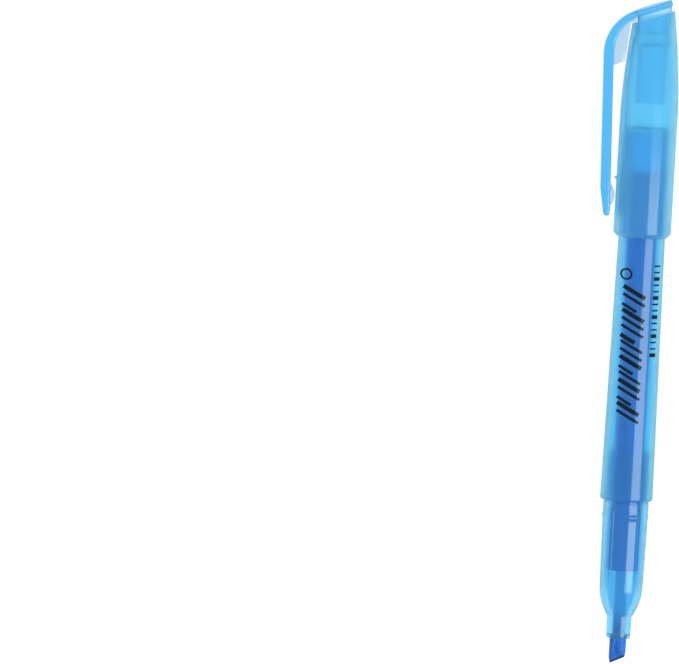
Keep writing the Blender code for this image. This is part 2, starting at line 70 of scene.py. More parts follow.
def pen_to_world():
    """The matrix that lays an upright pen, in millimetres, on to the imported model."""
    up, away = joint_axis("cap_slide"), joint_axis("clip_flex")
    side = away.cross(up)
    barrel_low, barrel_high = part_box("barrel")
    cap_low, cap_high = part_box("cap_shell")
    middle_y, middle_z = (barrel_low.y + barrel_high.y) / 2, (cap_low.z + cap_high.z) / 2
    origin = Vector((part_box("nib")[1].x, middle_y, middle_z))
    turn = Matrix((side, away, up)).transposed().to_4x4()
    return Matrix.Translation(origin) @ turn @ Matrix.Scale(MM, 4)


PEN_TO_WORLD = pen_to_world()
WORLD_TO_PEN = PEN_TO_WORLD.inverted()
PEN_TURN = PEN_TO_WORLD.to_3x3().normalized()


def pen_box(node):
    """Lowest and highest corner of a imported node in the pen's own frame, in millimetres."""
    points = [WORLD_TO_PEN @ v.co for v in frame["nodes"][node].data.vertices]
    return (Vector([min(p[k] for p in points) for k in range(3)]),
            Vector([max(p[k] for p in points) for k in range(3)]))


BARREL_BOX, SECTION_BOX, CAP_BOX = pen_box("barrel"), pen_box("front_section"), pen_box("cap_shell")
NIB_BOX, CORE_BOX, SLEEVE_BOX = pen_box("nib"), pen_box("ink_reservoir"), pen_box("reservoir_sleeve")
CUP_BOX, ROOT_BOX, ARM_BOX = pen_box("inner_cap"), pen_box("clip_root"), pen_box("clip_arm")

# Lengths along the pen, in millimetres
NOZZLE_LENGTH, SHOULDER_LENGTH = 4.8, 5.6
CAP_LENGTH, CAP_STRAIGHT_LENGTH = 45.9, 26.2
CLIP_TIP_LENGTH, CLIP_PLUG_LENGTH = 5.6, 3.6

# Heights
NOZZLE_END = SECTION_BOX[0].z
SHOULDER_START = NOZZLE_END + NOZZLE_LENGTH
SHOULDER_END = SHOULDER_START + SHOULDER_LENGTH
BARREL_FRONT, BARREL_REAR = BARREL_BOX[0].z, BARREL_BOX[1].z
PLUG_END = SECTION_BOX[1].z
CORE_FRONT, CORE_REAR = CORE_BOX[0].z, CORE_BOX[1].z
CAP_MOUTH = CAP_BOX[0].z
CAP_NARROWS = CAP_MOUTH + CAP_STRAIGHT_LENGTH
CAP_TOP = CAP_MOUTH + CAP_LENGTH
CLIP_PLUG_END = CAP_TOP - CLIP_PLUG_LENGTH
CUP_MOUTH, CUP_TOP = CUP_BOX[0].z, CUP_BOX[1].z
FLEX_HEIGHT = (ROOT_BOX[0].z + ARM_BOX[1].z) / 2
ARM_TIP = ARM_BOX[0].z
TIP_TAPER = ARM_TIP + CLIP_TIP_LENGTH

# Radii, walls and gaps
BARREL_FRONT_RADIUS, BARREL_REAR_RADIUS, BARREL_WALL = 5.5, 4.6, 0.95
NOZZLE_RADIUS, NOZZLE_WALL = 2.52, 0.63
GRIP_FRONT_RADIUS, GRIP_REAR_RADIUS = 4.46, 4.76
CORE_RADIUS, CORE_BORE, SLEEVE_RADIUS = CORE_BOX[1].x, 3.74, SLEEVE_BOX[1].x
CAP_RADIUS = CAP_BOX[1].x
CAP_TOP_RADIUS, CAP_WALL, CAP_TAPER_POWER = 4.35, 1.0, 1.6
CLIP_PLUG_RADIUS = 3.5
RUNNING_GAP, SNUG_GAP, RIB_GAP = 0.13, 0.06, 0.12
POLE = 0.02  # radius of the small face that closes a turned piece on its axis

# The clip: its reach is how far its outer face stands from the axis
CLIP_REACH = -ROOT_BOX[0].x
CLIP_WIDTH = ARM_BOX[1].y - ARM_BOX[0].y
CLIP_THICKNESS, PLATE_THICKNESS, PLATE_GAP = 2.05, 1.1, 1.25
CLIP_LEAN, TOP_SLANT = math.radians(1.9), math.radians(19.5)
TOP_UP = Vector((-math.sin(TOP_SLANT), 0, math.cos(TOP_SLANT)))


def along(start, end, share):
    return start + (end - start) * share


def steps(start, end, count):
    return [along(start, end, k / count) for k in range(count + 1)]


def barrel_radius(height):
    share = (height - BARREL_FRONT) / (BARREL_REAR - BARREL_FRONT)
    return along(BARREL_FRONT_RADIUS, BARREL_REAR_RADIUS, share)


def cap_radius(height):
    share = max(0.0, height - CAP_NARROWS) / (CAP_TOP - CAP_NARROWS)
    return CAP_RADIUS - (CAP_RADIUS - CAP_TOP_RADIUS) * share ** CAP_TAPER_POWER


def plate_line(x, depth):
    """Height of a line along the clip's top plate, so far below its top face."""
    return CAP_TOP + (PLATE_GAP + PLATE_THICKNESS - depth) / math.cos(TOP_SLANT) + x * math.tan(TOP_SLANT)


# ------------------------------------------------------------------ modelling, as by hand

def select_none():
    if bpy.context.object and bpy.context.object.mode != "OBJECT":
        bpy.ops.object.mode_set(mode="OBJECT")
    bpy.ops.object.select_all(action="DESELECT")


def only(piece):
    select_none()
    piece.select_set(True)
    bpy.context.view_layer.objects.active = piece


def copy_of(piece):
    """A copy of a piece with its own mesh, selected and active."""
    only(piece)
    bpy.ops.object.duplicate(linked=False)
    return bpy.context.object


def apply_all(piece):
    """Apply a piece's modifiers, top to bottom."""
    only(piece)
    for modifier in list(piece.modifiers):
        bpy.ops.object.modifier_apply(modifier=modifier.name)


def bevel(piece, width, segments=3, angle=35):
    edge = piece.modifiers.new("soft_edges", "BEVEL")
    edge.width, edge.segments, edge.limit_method = width, segments, "ANGLE"
    edge.angle_limit = math.radians(angle)
    edge.use_clamp_overlap = True


def supported(profile, closed):
    """The profile with extra rings near the ends of long stretches, which keep their shading straight."""
    long_stretch, near, further = 1.0, 0.08, 0.25
    ends = profile[1:] + (profile[:1] if closed else [])
    rings = []
    for (radius, height), (new_radius, new_height) in zip(profile, ends):
        rings.append((radius, height))
        length = math.hypot(new_radius - radius, new_height - height)
        if length > long_stretch:
            shares = (near / length, further / length, 1 - further / length, 1 - near / length)
            rings += [(along(radius, new_radius, t), along(height, new_height, t)) for t in shares]
    return rings if closed else [*rings, profile[-1]]


def round_edge(centre, size, start, end, count):
    """A rounded edge of a profile; an angle, in degrees, is 0 straight up and 90 straight out."""
    angles = steps(math.radians(start), math.radians(end), count)
    return [(centre[0] + size * math.sin(a), centre[1] + size * math.cos(a)) for a in angles]


def lathe(name, profile, sides=96, closed=True):
    """A round piece: a ring that is extruded and resized from point to point of (radius, height).

    A closed profile comes back to its first ring; an open one starts and ends on the axis.
    """
    merge_distance = 0.0005
    select_none()
    profile = supported(profile, closed)
    radius, height = profile[0]
    bpy.ops.mesh.primitive_circle_add(
        vertices=sides, radius=radius, fill_type="NOTHING" if closed else "NGON", location=(0, 0, height))
    piece = bpy.context.object
    piece.name = piece.data.name = name
    bpy.ops.object.transform_apply(location=True)
    bpy.ops.object.mode_set(mode="EDIT")
    bpy.ops.mesh.select_all(action="SELECT")
    if not closed:
        bpy.ops.mesh.select_mode(type="EDGE")
    around = profile[1:] + (profile[:1] if closed else [])
    for new_radius, new_height in around:
        bpy.ops.mesh.extrude_edges_move(TRANSFORM_OT_translate={"value": (0, 0, new_height - height)})
        scale = new_radius / radius
        bpy.ops.transform.resize(value=(scale, scale, 1), center_override=(0, 0, new_height))
        radius, height = new_radius, new_height
    if not closed:
        bpy.ops.mesh.edge_face_add()
    bpy.ops.mesh.select_all(action="SELECT")
    bpy.ops.mesh.remove_doubles(threshold=merge_distance)
    bpy.ops.mesh.normals_make_consistent(inside=False)
    bpy.ops.object.mode_set(mode="OBJECT")
    return piece


def box(name, size, centre, turn=(0, 0, 0)):
    select_none()
    bpy.ops.mesh.primitive_cube_add(size=1, location=centre, rotation=turn)
    piece = bpy.context.object
    piece.name = piece.data.name = name
    piece.scale = size
    bpy.ops.object.transform_apply(location=True, rotation=True, scale=True)
    return piece


def rod(name, radius, low, high, turn=(0, 0, 0), centre=None, sides=96, top_radius=None):
    """A rod that stands on the axis between two heights, or is turned round its middle at a centre."""
    select_none()
    bpy.ops.mesh.primitive_cone_add(
        vertices=sides, radius1=radius, radius2=radius if top_radius is None else top_radius,
        depth=high - low, location=centre or (0, 0, (low + high) / 2), rotation=turn)
    piece = bpy.context.object
    piece.name = piece.data.name = name
    bpy.ops.object.transform_apply(location=True, rotation=True, scale=True)
    return piece


def drawn_plate(name, outline, width):
    """A flat plate across the pen: its side outline is drawn point by point, filled and extruded."""
    select_none()
    bpy.ops.mesh.primitive_plane_add(size=0.1, location=(outline[0][0], -width / 2, outline[0][1]))
    plate = bpy.context.object
    plate.name = plate.data.name = name
    bpy.ops.object.transform_apply(location=True)
    bpy.ops.object.mode_set(mode="EDIT")
    bpy.ops.mesh.select_mode(type="VERT")
    bpy.ops.mesh.select_all(action="SELECT")
    bpy.ops.mesh.merge(type="CENTER")
    for (x, z), (new_x, new_z) in zip(outline, outline[1:]):
        bpy.ops.mesh.extrude_vertices_move(TRANSFORM_OT_translate={"value": (new_x - x, 0, new_z - z)})
    bpy.ops.mesh.select_all(action="SELECT")
    bpy.ops.mesh.edge_face_add()
    bpy.ops.mesh.extrude_region_move(TRANSFORM_OT_translate={"value": (0, width, 0)})
    bpy.ops.mesh.select_all(action="SELECT")
    bpy.ops.mesh.normals_make_consistent(inside=False)
    bpy.ops.object.mode_set(mode="OBJECT")
    return plate


def combine(piece, tool, operation):
    """Join a tool to a piece or cut it out of the piece, and remove the tool."""
    boolean = piece.modifiers.new("combine", "BOOLEAN")
    boolean.operation, boolean.solver, boolean.object = operation, "EXACT", tool
    apply_all(piece)
    bpy.data.objects.remove(tool)


def cut_slant(piece, height):
    """Cut away what lies above a plane parallel to the cap's slanted top, at a height on the axis."""
    half = 10
    cut = box("top_cut", [2 * half] * 3, Vector((0, 0, height)) + TOP_UP * half, (0, -TOP_SLANT, 0))
    combine(piece, cut, "DIFFERENCE")


def add_ribs(piece, count, width, inner, outer, low, high, tip=0.0):
    """Ribs along a bore; the tip is how much of the top end is drawn to a point."""
    pattern = box("rib", (outer - inner, width, high - low), ((inner + outer) / 2, 0, (low + high) / 2))
    if tip:
        bpy.ops.object.mode_set(mode="EDIT")
        bpy.ops.mesh.select_all(action="SELECT")
        bpy.ops.mesh.bisect(
            plane_co=(outer, 0, high), plane_no=(-tip, 0, outer - inner), clear_outer=True, use_fill=True)
        bpy.ops.object.mode_set(mode="OBJECT")
    for index in range(count):
        rib = copy_of(pattern)
        rib.rotation_euler = (0, 0, 2 * math.pi * (index + 0.5) / count)
        bpy.ops.object.transform_apply(rotation=True)
        combine(piece, rib, "UNION")
    bpy.data.objects.remove(pattern)


def finish_piece(piece, material, body, slot, *nodes, smooth=30):
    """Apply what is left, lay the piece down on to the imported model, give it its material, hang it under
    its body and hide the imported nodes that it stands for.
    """
    apply_all(piece)
    bpy.ops.object.shade_smooth_by_angle(angle=math.radians(smooth))
    piece.data.transform(PEN_TO_WORLD)
    piece.data.materials.clear()
    piece.data.materials.append(material)
    if body:
        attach(piece, body)
    if nodes:
        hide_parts(*nodes)


# ------------------------------------------------------------------ materials

class Value:
    """A socket that takes part in arithmetic; each operation adds a Math node."""

    def __init__(self, made, socket):
        self.made, self.socket = made, socket

    def maths(self, operation, first, second):
        return self.made.node("ShaderNodeMath", {"operation": operation}, {0: first, 1: second})[0]

    def __add__(self, other):
        return self.maths("ADD", self, other)

    def __radd__(self, other):
        return self.maths("ADD", other, self)

    def __mul__(self, other):
        return self.maths("MULTIPLY", self, other)

    def __rmul__(self, other):
        return self.maths("MULTIPLY", other, self)


class Finish:
    """A material under construction."""

    def __init__(self, name):
        self.material = bpy.data.materials.new(name)
        self.material.use_nodes = True
        self.tree = self.material.node_tree
        self.tree.nodes.clear()

    def node(self, kind, settings=None, sockets=None):
        """Add a node; settings come first, and a socket takes a Value or a plain value."""
        added = self.tree.nodes.new(kind)
        for key, setting in (settings or {}).items():
            setattr(added, key, setting)
        for key, value in (sockets or {}).items():
            if isinstance(value, Value):
                self.tree.links.new(value.socket, added.inputs[key])
            else:
                added.inputs[key].default_value = value
        return [Value(self, output) for output in added.outputs if output.enabled]

    def place(self):
        """Object coordinates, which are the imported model's own, in metres."""
        return self.node("ShaderNodeTexCoord")[3]

    def noise(self, across, lengthwise, detail=3.0, roughness=0.5):
        """Noise so many times a metre across the pen and along it, where it lies along world X."""
        scale = (lengthwise, across, across)
        vector = self.node("ShaderNodeMapping", {}, {"Vector": self.place(), "Scale": scale})[0]
        return self.node("ShaderNodeTexNoise", {}, {
            "Vector": vector, "Scale": 1.0, "Detail": detail, "Roughness": roughness})[0]

    def carried(self, value, low, high, top=1.0, kind="LINEAR"):
        """A value carried from the range low to high on to 0 to top."""
        return self.node("ShaderNodeMapRange", {"interpolation_type": kind}, {
            0: value, 1: low, 2: high, 3: 0.0, 4: top})[0]

    def blend(self, factor, first, second):
        mixed = self.node("ShaderNodeMix", {"data_type": "RGBA"}, {
            0: factor, 6: (*first, 1) if isinstance(first, tuple) else first, 7: (*second, 1)})
        return mixed[-1]

    def bump(self, height, strength, distance):
        return self.node("ShaderNodeBump", {}, {
            "Height": height, "Strength": strength, "Distance": distance})[0]

    def surface(self, sockets):
        """Close the material with one principled shader."""
        shader = self.node("ShaderNodeBsdfPrincipled", {}, sockets)[0]
        self.node("ShaderNodeOutputMaterial", {}, {"Surface": shader})
        return self.material


def rgb(code):
    """A linear colour from a hexadecimal one."""
    parts = [int(code[k:k + 2], 16) / 255 for k in (0, 2, 4)]
    return tuple(p / 12.92 if p <= 0.04045 else ((p + 0.055) / 1.055) ** 2.4 for p in parts)


# Painted glow: an emission colour that makes the milky plastics glow, standing in for light that passes
# through them.
PAINTED_MILKY_GLOW = (0.02, 0.36, 0.56)
# Painted glow of the ink core: emission colours that brighten the fibre as if lit through the barrel and
# film.
PAINTED_INK_GLOW, PAINTED_DEEP_INK_GLOW, PAINTED_INK_GLOW_STRENGTH = (0.02, 0.3, 0.8), (0.008, 0.2, 0.58), 0.36


def plastic(name, tint, deep_tint, blur, through, coat=1.0, gloss_blur=0.04, painted_glow=0.0, ior=1.4):
    """Moulded plastic: light passes through it, blurred and tinted; a coat keeps the outside glossy.

    Flow streaks along the pen change its tint a little. The painted glow is a pale blue emission that
    brightens the plastic as if lit from within; it is painted light.
    """
    made = Finish(name)
    flow = made.noise(across=420, lengthwise=40, detail=4.0)
    grain = made.noise(across=2500, lengthwise=2500, detail=2.0)
    return made.surface({
        "Base Color": made.blend(flow, rgb(tint), rgb(deep_tint)), "Roughness": blur + 0.05 * grain,
        "IOR": ior, "Specular IOR Level": 0.15, "Transmission Weight": through,
        "Coat Weight": coat, "Coat Roughness": gloss_blur,
        # Painted glow: emission that brightens the plastic whatever lights it.
        "Emission Color": (*PAINTED_MILKY_GLOW, 1), "Emission Strength": painted_glow,
        "Normal": made.bump(flow * 0.7 + grain * 0.3, 0.05, 0.1 * MM)})


def soaked_fibre(name, colour, deep):
    """Fibre bundle full of ink: fine streaks along the pen, and a painted glow, an emission that brightens
    the core as if lit through the barrel and film.
    """
    made = Finish(name)
    streak = made.noise(across=5200, lengthwise=60)
    broad = made.noise(across=900, lengthwise=18, detail=2.0)
    soak = made.carried(streak * 0.45 + broad * 0.55, 0.36, 0.64)
    return made.surface({
        "Base Color": made.blend(soak, rgb(deep), rgb(colour)), "Roughness": 0.75,
        # Painted glow: emission that brightens the core whatever lights it.
        "Specular IOR Level": 0.2, "Emission Color": made.blend(soak, PAINTED_DEEP_INK_GLOW, PAINTED_INK_GLOW),
        "Emission Strength": PAINTED_INK_GLOW_STRENGTH, "Normal": made.bump(streak, 0.4, 0.08 * MM)})


# The nib's writing face: the x of its low edge, its slope, and where it lies in the imported model, which
# places the nib's painted shade
WRITING_EDGE, WRITING_SLANT = -NIB_BOX[1].x * 0.85, math.radians(26)
WRITING_NORMAL = Vector((math.sin(WRITING_SLANT), 0, -math.cos(WRITING_SLANT)))
FACE_NORMAL = PEN_TURN @ WRITING_NORMAL
FACE_DISTANCE = FACE_NORMAL.dot(PEN_TO_WORLD @ Vector((WRITING_EDGE, 0, 0)))


def porous_nib(name, colour, deep, shank, painted_shade_colour):
    """Sintered nib: grainy, with painted shade along its slanted writing face; its shank inside the section
    is painted paler, a painted haze for the milky section around it.
    """
    painted_shade_depth, painted_shade_edge, painted_shade_share = 0.7 * MM, 0.25 * MM, 0.85
    made = Finish(name)
    place = made.place()
    lengthwise = made.node("ShaderNodeSeparateXYZ", {}, {0: place})[0]
    # Painted haze: the shank grows paler from 1 mm to 6 mm above the nozzle's end, standing in for light
    # scattered by the milky section around it.
    tip, root = (PEN_TO_WORLD @ Vector((0, 0, NOZZLE_END + inside)) for inside in (1.0, 6.0))
    painted_haze_share = made.carried(lengthwise, tip.x, root.x)
    # Painted shade: the nib darkens within 0.25 to 0.7 mm of its writing face, which faces away from the
    # light.
    height = made.node("ShaderNodeVectorMath", {"operation": "DOT_PRODUCT"}, {
        0: place, 1: tuple(FACE_NORMAL)})[-1]
    painted_shade_mask = made.carried(
        height, FACE_DISTANCE - painted_shade_depth, FACE_DISTANCE - painted_shade_edge, top=painted_shade_share, kind="SMOOTHSTEP")
    grain = made.noise(across=3800, lengthwise=3800, detail=4.0, roughness=0.6)
    cloud = made.noise(across=1100, lengthwise=350, detail=2.0)
    soak = made.carried(grain * 0.4 + cloud * 0.6, 0.38, 0.62)
    painted_shade_blend = made.blend(painted_shade_mask, made.blend(soak, rgb(deep), rgb(colour)), rgb(painted_shade_colour))
    return made.surface({
        "Base Color": made.blend(painted_haze_share, painted_shade_blend, rgb(shank)), "Roughness": 0.42 + 0.2 * grain,
        "Normal": made.bump(grain, 0.35, 0.06 * MM)})


def printed_ink(name):
    """Glossy screen-printed black with a slightly uneven lay."""
    made = Finish(name)
    patch = made.noise(across=1500, lengthwise=1500)
    return made.surface({
        "Base Color": made.blend(patch, (0.002, 0.003, 0.006), (0.005, 0.008, 0.015)),
        "Roughness": 0.3 + 0.1 * patch, "Specular IOR Level": 0.1,
        "Coat Weight": 0.3, "Coat Roughness": 0.05})


def pale_floor(name):
    """A matt floor that is white by its own light, so that it hardly takes a shadow."""
    made = Finish(name)
    paper = made.noise(across=60, lengthwise=60)
    return made.surface({
        "Base Color": made.blend(paper, (0.12, 0.12, 0.12), (0.14, 0.14, 0.14)), "Roughness": 0.9,
        "Specular IOR Level": 0.0, "Emission Color": (1, 1, 1, 1), "Emission Strength": 0.97})


BARREL_PLASTIC = plastic("frosted_blue_barrel", "92e4ff", "89dfff", blur=0.28, through=0.97, ior=1.3)
SECTION_PLASTIC = plastic(
    "frosted_blue_section", "8ed7f9", "84d1f5", blur=0.18, through=0.95, painted_glow=0.02, ior=1.36)
FILM = plastic("reservoir_film", "e0f4ff", "d6efff", blur=0.2, through=0.98, coat=0.0, ior=1.1)
CAP_PLASTIC = plastic(
    "milky_blue_cap", "a6e5fb", "9cdff9", blur=0.3, through=0.9, gloss_blur=0.09, painted_glow=0.06, ior=1.28)
CUP_PLASTIC = plastic(
    "milky_seal_cup", "e8f8ff", "dcf3ff", blur=0.3, through=0.95, coat=0.2, painted_glow=0.04, ior=1.25)
PLUG_PLASTIC = plastic(
    "milky_clip_plug", "c4e9fb", "b8e3f8", blur=0.4, through=0.9, coat=0.3, painted_glow=0.06, ior=1.2)
CLIP_PLASTIC = plastic("blue_clip_plastic", "60cbff", "58c4ff", blur=0.14, through=0.82)
WEB_PLASTIC = plastic("pale_thin_plastic", "d6ecfa", "cce6f8", blur=0.2, through=0.85)
CORE_FIBRE = soaked_fibre("ink_soaked_fibre", colour="1a70cc", deep="0e539e")
# The nib's darkest colour is painted shade for its writing face; its palest is painted haze on the shank.
NIB_FIBRE = porous_nib("blue_porous_nib", colour="3c84dc", deep="1a4ea4", shank="a2e2fc", painted_shade_colour="061c48")
PRINT_INK = printed_ink("black_print")
FLOOR_PAPER = pale_floor("pale_floor")


# ------------------------------------------------------------------ barrel, section, nib and ink

def make_barrel():
    """A tapered tube with a closed rear end, round edges and six ribs round the core."""
    front_edge, rear_edge, inner_edge, chamfer = 0.55, 1.1, 0.6, 0.12
    end_thickness, rib_length, rib_width, sunk = 1.4, 22.0, 0.6, 0.1
    floor = BARREL_REAR - end_thickness
    bore_front, bore_rear = BARREL_FRONT_RADIUS - BARREL_WALL, barrel_radius(floor) - BARREL_WALL
    barrel = lathe("barrel_shell", [
        (POLE, BARREL_REAR),
        *round_edge((BARREL_REAR_RADIUS - rear_edge, BARREL_REAR - rear_edge), rear_edge, 0, 90, 6),
        *round_edge((BARREL_FRONT_RADIUS - front_edge, BARREL_FRONT + front_edge), front_edge, 90, 180, 5),
        (bore_front + chamfer, BARREL_FRONT), (bore_front, BARREL_FRONT + chamfer),
        *round_edge((bore_rear - inner_edge, floor - inner_edge), inner_edge, 90, 0, 4),
        (POLE, floor)], closed=False)
    rib_low = floor - rib_length
    add_ribs(barrel, 6, width=rib_width, inner=SLEEVE_RADIUS + RIB_GAP,
             outer=barrel_radius(rib_low) - BARREL_WALL / 2, low=rib_low, high=floor + sunk)
    finish_piece(barrel, BARREL_PLASTIC, "pen", "barrel", "barrel")


def section_radius(height):
    """Radius of the shoulder's curve and, behind it, of the grip."""
    step_out, grip_power = 0.2, 0.6
    if height < SHOULDER_END:
        share = (height - SHOULDER_START) / SHOULDER_LENGTH
        return along(NOZZLE_RADIUS + step_out, GRIP_FRONT_RADIUS, math.sin(share * math.pi / 2))
    share = (height - SHOULDER_END) / (BARREL_FRONT - SHOULDER_END)
    return along(GRIP_FRONT_RADIUS, GRIP_REAR_RADIUS, min(share, 1) ** grip_power)


def plug_radius(height):
    """Radius of the section's plug, which is pressed into the barrel."""
    return barrel_radius(height) - BARREL_WALL - SNUG_GAP


def section_plug():
    """Profile of the plug from its rear end to the grip, with two grooves round it."""
    chamfer, small_chamfer, depth, half_width, half_floor = 0.25, 0.1, 0.16, 0.3, 0.12
    groove_shape = [(0, half_width), (depth, half_floor), (depth, -half_floor), (0, -half_width)]
    plug = [(plug_radius(PLUG_END) - chamfer, PLUG_END), (plug_radius(PLUG_END), PLUG_END - chamfer)]
    for groove in (BARREL_FRONT + 5.8, BARREL_FRONT + 2.7):
        plug += [(plug_radius(groove) - dip, groove + rise) for dip, rise in groove_shape]
    seat = BARREL_FRONT - 0.3
    return [*plug, (plug_radius(seat), seat), (section_radius(seat) - small_chamfer, seat),
            (section_radius(seat), seat - small_chamfer)]


def section_outside():
    """Profile of the grip with its snap bead, of the shoulder and of the nozzle with its round lip."""
    bead, bead_rise, bead_half, lip = BARREL_FRONT - 3.3, 0.12, 0.6, 0.42
    swell = [(section_radius(bead) + bead_rise * math.cos(a), bead + bead_half * a / (math.pi / 2))
             for a in steps(math.pi / 2, -math.pi / 2, 6)]
    grip = [(section_radius(h), h) for h in steps(bead - 1.0, SHOULDER_END, 8)]
    shoulder = [(section_radius(h), h) for h in steps(SHOULDER_END, SHOULDER_START + 0.1, 14)[1:]]
    return [*swell, *grip, *shoulder, (NOZZLE_RADIUS + 0.06, SHOULDER_START),
            *round_edge((NOZZLE_RADIUS - lip, NOZZLE_END + lip), lip, 90, 180, 5)]


def section_bore():
    """Profile of the bore: the nib's head and shank, then a flare up to the room of the core."""
    head_bore, shank_bore, chamfer = NOZZLE_RADIUS - NOZZLE_WALL, 1.4, 0.1
    flare_low, flare_high = SHOULDER_START + 0.2, CORE_FRONT - 0.3
    flare = [(along(shank_bore, CORE_BORE, math.sin(t * math.pi / 2)), along(flare_low, flare_high, t))
             for t in steps(0, 1, 8)[1:]]
    return [(head_bore + chamfer, NOZZLE_END), (head_bore, NOZZLE_END + chamfer),
            (head_bore, NOZZLE_END + 0.75), (shank_bore, NOZZLE_END + 1.05), (shank_bore, flare_low), *flare,
            (CORE_BORE, PLUG_END - chamfer), (CORE_BORE + chamfer, PLUG_END)]


def make_front_section():
    """Nozzle, shoulder, grip and plug in one turned moulding, with four ribs round the core."""
    section = lathe("front_section_shell", [*section_plug(), *section_outside(), *section_bore()])
    add_ribs(section, 4, width=0.5, inner=SLEEVE_RADIUS + RIB_GAP, outer=CORE_BORE + 0.35,
             low=CORE_FRONT - 6.6, high=CORE_FRONT + 13.7, tip=4.0)
    finish_piece(section, SECTION_PLASTIC, "pen", "front_section", "front_section")


def make_nib():
    """A moulded chisel: round shank, wider head, two flats and a slanted writing face."""
    head, shank, shank_top = NIB_BOX[1].x, 1.25, NIB_BOX[1].z
    step, blank_end = NOZZLE_END + 0.45, -3.0
    shank_chamfer, head_chamfer, fillet = 0.3, 0.12, 0.05
    nib = lathe("chisel_nib", [
        (POLE, shank_top), (shank - shank_chamfer, shank_top), (shank, shank_top - shank_chamfer),
        (shank, step + fillet), (shank + fillet, step), (head - head_chamfer, step),
        (head, step - head_chamfer), (head, blank_end), (POLE, blank_end)], sides=64, closed=False)
    lean, flat = math.radians(12), math.radians(13)
    half_thickness, measured_at = 0.65, 0.7
    rise = -2 * WRITING_EDGE * math.tan(WRITING_SLANT)
    cuts = [((WRITING_EDGE, 0, 0), WRITING_NORMAL)]
    for side, height in ((-1, 0), (1, rise)):
        cuts.append(((-side * WRITING_EDGE, 0, height), (side * math.cos(lean), 0, -math.sin(lean))))
        cuts.append((
            (0, side * half_thickness, measured_at), (0, side * math.cos(flat), -math.sin(flat))))
    bpy.ops.object.mode_set(mode="EDIT")
    for point, normal in cuts:
        bpy.ops.mesh.select_all(action="SELECT")
        bpy.ops.mesh.bisect(plane_co=point, plane_no=normal, clear_outer=True, use_fill=True)
    bpy.ops.object.mode_set(mode="OBJECT")
    bevel(nib, 0.09, 3, 20)
    finish_piece(nib, NIB_FIBRE, "pen", "nib", "nib")


def make_ink():
    """The fibre core, with a pocket for the nib's shank, and the film wrapped round it."""
    chamfer, pocket, pocket_end, film_thickness = 0.15, 1.4, CORE_FRONT + 4.3, 0.25
    core = lathe("fibre_core", [
        (POLE, CORE_REAR), (CORE_RADIUS - chamfer, CORE_REAR), (CORE_RADIUS, CORE_REAR - chamfer),
        (CORE_RADIUS, CORE_FRONT + chamfer), (CORE_RADIUS - chamfer, CORE_FRONT), (pocket, CORE_FRONT),
        (pocket, pocket_end), (POLE, pocket_end)], closed=False)
    finish_piece(core, CORE_FIBRE, "pen", "ink_reservoir", "ink_reservoir")
    inside = SLEEVE_RADIUS - film_thickness
    film = lathe("film_wrap", [
        (SLEEVE_RADIUS, CORE_REAR), (SLEEVE_RADIUS, CORE_FRONT), (inside, CORE_FRONT), (inside, CORE_REAR)])
    finish_piece(film, FILM, "pen", "reservoir_sleeve", "reservoir_sleeve")


# ------------------------------------------------------------------ print

PRINT_IN_FRONT = -9  # the y at which marks are drawn before they are wrapped


def stroke_pattern():
    """A flat stroke, one long and one wide, fine enough along its x to bend round the barrel."""
    select_none()
    bpy.ops.mesh.primitive_grid_add(x_subdivisions=24, y_subdivisions=2, size=1, location=(0, 0, 0))
    return bpy.context.object


def stroke(pattern, width, length, x, height, slant=0.0):
    """A copy of the pattern in front of the barrel, so wide across the pen and so long along it."""
    mark = copy_of(pattern)
    mark.location, mark.rotation_euler = (x, PRINT_IN_FRONT, height), (math.pi / 2, slant, 0)
    mark.scale = (width, length, 1)
    bpy.ops.object.transform_apply(location=True, rotation=True, scale=True)
    return mark


def ring_mark(radius, width, x, height):
    """A flat ring in front of the barrel, still to be wrapped on to it."""
    centre = (x, PRINT_IN_FRONT, height)
    select_none()
    bpy.ops.mesh.primitive_circle_add(
        vertices=48, radius=radius, fill_type="NOTHING", location=centre, rotation=(math.pi / 2, 0, 0))
    mark = bpy.context.object
    bpy.ops.object.transform_apply(location=True, rotation=True)
    bpy.ops.object.mode_set(mode="EDIT")
    bpy.ops.mesh.select_all(action="SELECT")
    bpy.ops.mesh.extrude_edges_move(TRANSFORM_OT_translate={"value": (0, 0, 0)})
    scale = 1 - width / radius
    bpy.ops.transform.resize(value=(scale, 1, scale), center_override=centre)
    bpy.ops.object.mode_set(mode="OBJECT")
    return mark


def slanted_strokes(pattern):
    """Long strokes, every fourth one shorter and every third one thicker."""
    left, long, short, slant = -3.6, 5.2, 3.4, math.radians(28)
    for k, height in enumerate(steps(BARREL_FRONT + 18.0, BARREL_FRONT + 44.0, 16)):
        width = short if k % 4 == 2 else long
        length = 0.9 if k % 3 == 1 else 0.6
        yield stroke(pattern, width, length, left + width / 2, height, slant)


def row_of_dashes(pattern):
    """Short dashes beside the strokes, every third one thicker."""
    right, width = 3.5, 1.2
    for k, height in enumerate(steps(BARREL_FRONT + 31.0, BARREL_FRONT + 49.6, 14)):
        length = 0.32 if k % 3 else 0.8
        yield stroke(pattern, width, length, right, height)


